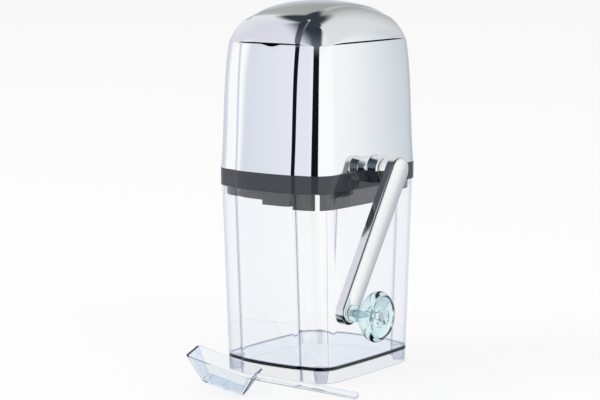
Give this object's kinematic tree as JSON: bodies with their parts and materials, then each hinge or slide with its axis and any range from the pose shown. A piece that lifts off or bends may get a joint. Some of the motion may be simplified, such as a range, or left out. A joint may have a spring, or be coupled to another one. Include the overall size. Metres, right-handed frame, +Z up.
{
  "type": "hand cranked ice crusher",
  "caption": "Countertop ice crusher: a side crank turns a toothed rotor under a hinged, domed lid; crushed ice falls into a clear bin; a clear scoop lies in front.",
  "frame": {"origin": "centre of the base, on the plane that the bin stands on", "axes": "+Z up; -Y towards the front, the narrow face with the centre panel; +X towards the crank"},
  "size_m": [0.1436, 0.1975, 0.2569],
  "materials": {
    "clear_bin": "clear pale blue moulded plastic",
    "clear_scoop": "clear pale blue moulded plastic",
    "clear_knob": "clear aqua moulded plastic",
    "chrome_shell": "mirror chrome plated shell",
    "satin_chrome": "soft satin chrome plated casting",
    "dark_frame": "dark grey glossy moulded plastic",
    "hopper_plastic": "dark grey satin moulded plastic",
    "blade_steel": "punched stainless plate",
    "steel": "turned stainless",
    "nylon": "natural nylon"
  },
  "bodies": {
    "bin": {"ice_bin": "clear_bin"},
    "head": {"base_frame": "dark_frame", "housing": "chrome_shell", "hopper": "hopper_plastic", "coarse_comb": "blade_steel", "fine_comb": "blade_steel", "comb_screws": "steel", "frame_screws": "steel", "crank_bush": "nylon", "end_bush": "nylon", "lid_hinge_pin": "steel"},
    "lid": {"lid": "chrome_shell"},
    "crank": {"drive_shaft": "steel", "rotor_blade_1": "blade_steel", "rotor_blade_2": "blade_steel", "rotor_blade_3": "blade_steel", "rotor_blade_4": "blade_steel", "rotor_blade_5": "blade_steel", "rotor_spacer_1": "steel", "rotor_spacer_2": "steel", "rotor_spacer_3": "steel", "rotor_spacer_4": "steel", "rotor_spacer_5": "steel", "rotor_spacer_6": "steel", "shaft_end_clip": "steel", "thrust_washer": "nylon", "crank_arm": "satin_chrome", "crank_grub_screw": "steel", "knob_pin": "steel", "knob_washer": "nylon"},
    "knob": {"knob": "clear_knob"},
    "scoop": {"scoop": "clear_scoop"}
  },
  "joints": [
    {"name": "head_lift", "type": "slide", "parent": "bin", "child": "head", "axis": [0, 0, 1], "range_m": [0, 0.15]},
    {"name": "lid_hinge", "type": "hinge", "parent": "head", "child": "lid", "pos_m": [0, 0.0627, 0.23], "axis": [-1, 0, 0], "range_deg": [0, 105]},
    {"name": "crank_turn", "type": "hinge", "parent": "head", "child": "crank", "pos_m": [0, 0, 0.1427], "axis": [1, 0, 0], "continuous": true},
    {"name": "knob_spin", "type": "hinge", "parent": "crank", "child": "knob", "pos_m": [0.084, -0.05851, 0.05431], "axis": [1, 0, 0], "continuous": true},
    {"name": "scoop_lift", "type": "slide", "parent": "bin", "child": "scoop", "axis": [0, -0.6, 0.8], "range_m": [0, 0.15]}
  ]
}
